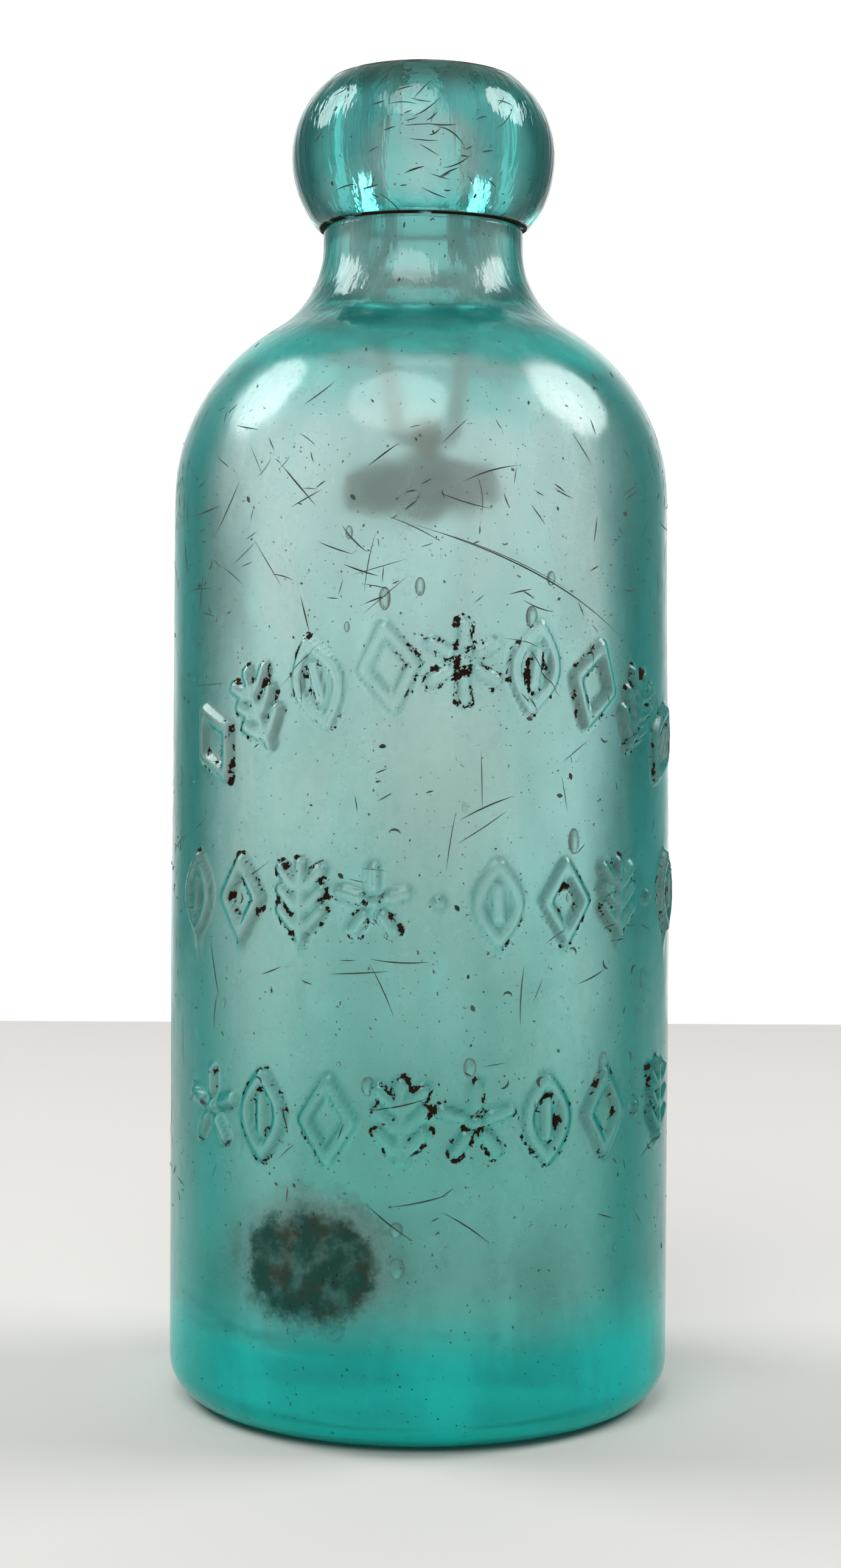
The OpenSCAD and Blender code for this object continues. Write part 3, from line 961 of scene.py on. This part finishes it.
def tinned_wire():
    """Dull tinned spring wire with rust coming through."""
    m = Nodes("tinned_wire")
    rust = m.ramp(m.noise(700, 4, rough=0.7), 0.56, 0.68)
    tone = m.noise(1800, 3)
    metal = m.mix(tone, rgb(0.74, 0.74, 0.72), rgb(0.88, 0.88, 0.86))
    m.set(Base_Color=m.mix(rust, metal, rgb(0.36, 0.22, 0.13)),
          Metallic=m.ramp(rust, 0, 1, 0.45, 0.1), Roughness=m.ramp(rust, 0, 1, 0.42, 0.85),
          Normal=m.bump(tone, 0.4, 0.0001))
    return m.material


def tinned_plate():
    """Stamped tinned plate, dull and spotted."""
    m = Nodes("tinned_plate")
    spots = m.ramp(m.noise(900, 4, rough=0.65), 0.52, 0.66)
    tone = m.noise(400, 3)
    metal = m.mix(tone, rgb(0.36, 0.34, 0.30), rgb(0.50, 0.49, 0.45))
    m.set(Base_Color=m.mix(spots, metal, rgb(0.17, 0.10, 0.05)),
          Metallic=m.ramp(spots, 0, 1, 0.8, 0.1), Roughness=m.ramp(spots, 0, 1, 0.38, 0.8),
          Normal=m.bump(tone, 0.3, 0.0001))
    return m.material


def aged_rubber():
    """Old gasket rubber, bloomed and dusty."""
    m = Nodes("aged_rubber")
    bloom = m.ramp(m.noise(500, 5, rough=0.65), 0.35, 0.7)
    m.set(Base_Color=m.mix(bloom, rgb(0.20, 0.195, 0.18), rgb(0.36, 0.35, 0.32)),
          Roughness=m.ramp(bloom, 0, 1, 0.65, 0.9), Normal=m.bump(m.noise(1500, 4), 0.5, 0.0002))
    return m.material


def tarnished_brass():
    """Brass rivet gone brown and green."""
    m = Nodes("tarnished_brass")
    tarnish = m.ramp(m.noise(900, 4, rough=0.6), 0.4, 0.65)
    m.set(Base_Color=m.mix(tarnish, rgb(0.42, 0.30, 0.13), rgb(0.11, 0.13, 0.085)),
          Metallic=m.ramp(tarnish, 0, 1, 0.95, 0.35), Roughness=m.ramp(tarnish, 0, 1, 0.35, 0.7),
          Normal=m.bump(tarnish, 0.3, 0.0001))
    return m.material


def plain_floor():
    """Pale matt studio floor."""
    m = Nodes("plain_floor")
    m.set(Base_Color=rgb(0.60, 0.59, 0.565), Roughness=0.9)
    return m.material


# ---------------------------------------------------------------- camera, light and floor

CAMERA_DISTANCE = 325.3
CAMERA_HEIGHT = 87.95
CAMERA_DOWN = 1.83
CAMERA_ROLL = 0.26
CAMERA_LENS = 58.4


def make_camera():
    """A nearly level view from a little above the bottle's middle."""
    data = bpy.data.cameras.new("camera")
    data.lens = CAMERA_LENS
    data.sensor_width = 36
    data.clip_start, data.clip_end = 0.01, 50
    camera = bpy.data.objects.new("camera", data)
    camera.location = Vector((0, -CAMERA_DISTANCE, CAMERA_HEIGHT)) * MM
    camera.rotation_mode = "ZXY"
    camera.rotation_euler = (math.radians(90 - CAMERA_DOWN), 0, math.radians(CAMERA_ROLL))
    bpy.context.scene.collection.objects.link(camera)
    bpy.context.scene.camera = camera


def soft_light(name, azimuth, elevation, distance, size, power):
    """A round soft light that faces the upper part of the bottle."""
    data = bpy.data.lights.new(name, "AREA")
    data.shape, data.size, data.energy = "DISK", size, power
    lamp = bpy.data.objects.new(name, data)
    a, e = math.radians(azimuth), math.radians(elevation)
    aim = Vector((0, 0, 0.1))
    way = Vector((math.sin(a) * math.cos(e), -math.cos(a) * math.cos(e), math.sin(e)))
    lamp.location = aim + way * distance
    lamp.rotation_mode = "QUATERNION"
    lamp.rotation_quaternion = way.to_track_quat("Z", "Y")
    bpy.context.scene.collection.objects.link(lamp)


def make_world():
    """White behind, dimmer overhead, in front and to the sides, which darkens glass edges."""
    world = bpy.data.worlds.new("studio")
    world.use_nodes = True
    nodes, links = world.node_tree.nodes, world.node_tree.links
    split = nodes.new("ShaderNodeSeparateXYZ")
    links.new(nodes.new("ShaderNodeTexCoord").outputs["Generated"], split.inputs["Vector"])
    side = nodes.new("ShaderNodeMath")
    side.operation = "ABSOLUTE"
    links.new(split.outputs["X"], side.inputs[0])
    dims = [(side.outputs[0], 0.25, 0.62, 1.0, 0.2), (split.outputs["Z"], 0.35, 0.8, 1.0, 0.45),
            (split.outputs["Y"], -0.6, 0.5, 0.4, 1.35)]
    product = None
    for source, *limits in dims:
        fade = nodes.new("ShaderNodeMapRange")
        fade.interpolation_type = "SMOOTHSTEP"
        links.new(source, fade.inputs["Value"])
        for name, value in zip(("From Min", "From Max", "To Min", "To Max"), limits):
            fade.inputs[name].default_value = value
        step = nodes.new("ShaderNodeMath")
        step.operation = "MULTIPLY"
        links.new(fade.outputs["Result"], step.inputs[0])
        if product is None:
            step.inputs[1].default_value = 1.0
        else:
            links.new(product, step.inputs[1])
        product = step.outputs[0]
    links.new(product, nodes["Background"].inputs["Strength"])
    nodes["Background"].inputs["Color"].default_value = (1, 1, 1, 1)
    bpy.context.scene.world = world


FLOOR_BACK = 0.372
FLOOR_FRONT = -1.0
FLOOR_HALF = 1.2


def make_floor(material):
    """A pale table top whose far edge is behind the bottle."""
    verts = [(-FLOOR_HALF, FLOOR_FRONT, 0), (FLOOR_HALF, FLOOR_FRONT, 0),
             (FLOOR_HALF, FLOOR_BACK, 0), (-FLOOR_HALF, FLOOR_BACK, 0)]
    mesh = bpy.data.meshes.new("floor")
    mesh.from_pydata(verts, [], [(0, 1, 2, 3)])
    floor = bpy.data.objects.new("floor", mesh)
    floor.data.materials.append(material)
    bpy.context.scene.collection.objects.link(floor)


# ---------------------------------------------------------------- the scene

make_camera()
make_world()
make_floor(plain_floor())
soft_light("rear_left", -105, 40, 0.9, 0.5, 5)
soft_light("rear_right", 97, 42, 0.9, 0.5, 5)
soft_light("front_fill", -15, 52, 1.3, 0.9, 8)
bpy.context.scene.view_settings.view_transform = "Standard"

glass = aqua_glass()
bottle_glass(glass)
bubbles(seed_surface())
wear_marks(dark_dirt())
stopper(tinned_wire(), tinned_plate(), aged_rubber(), tarnished_brass())
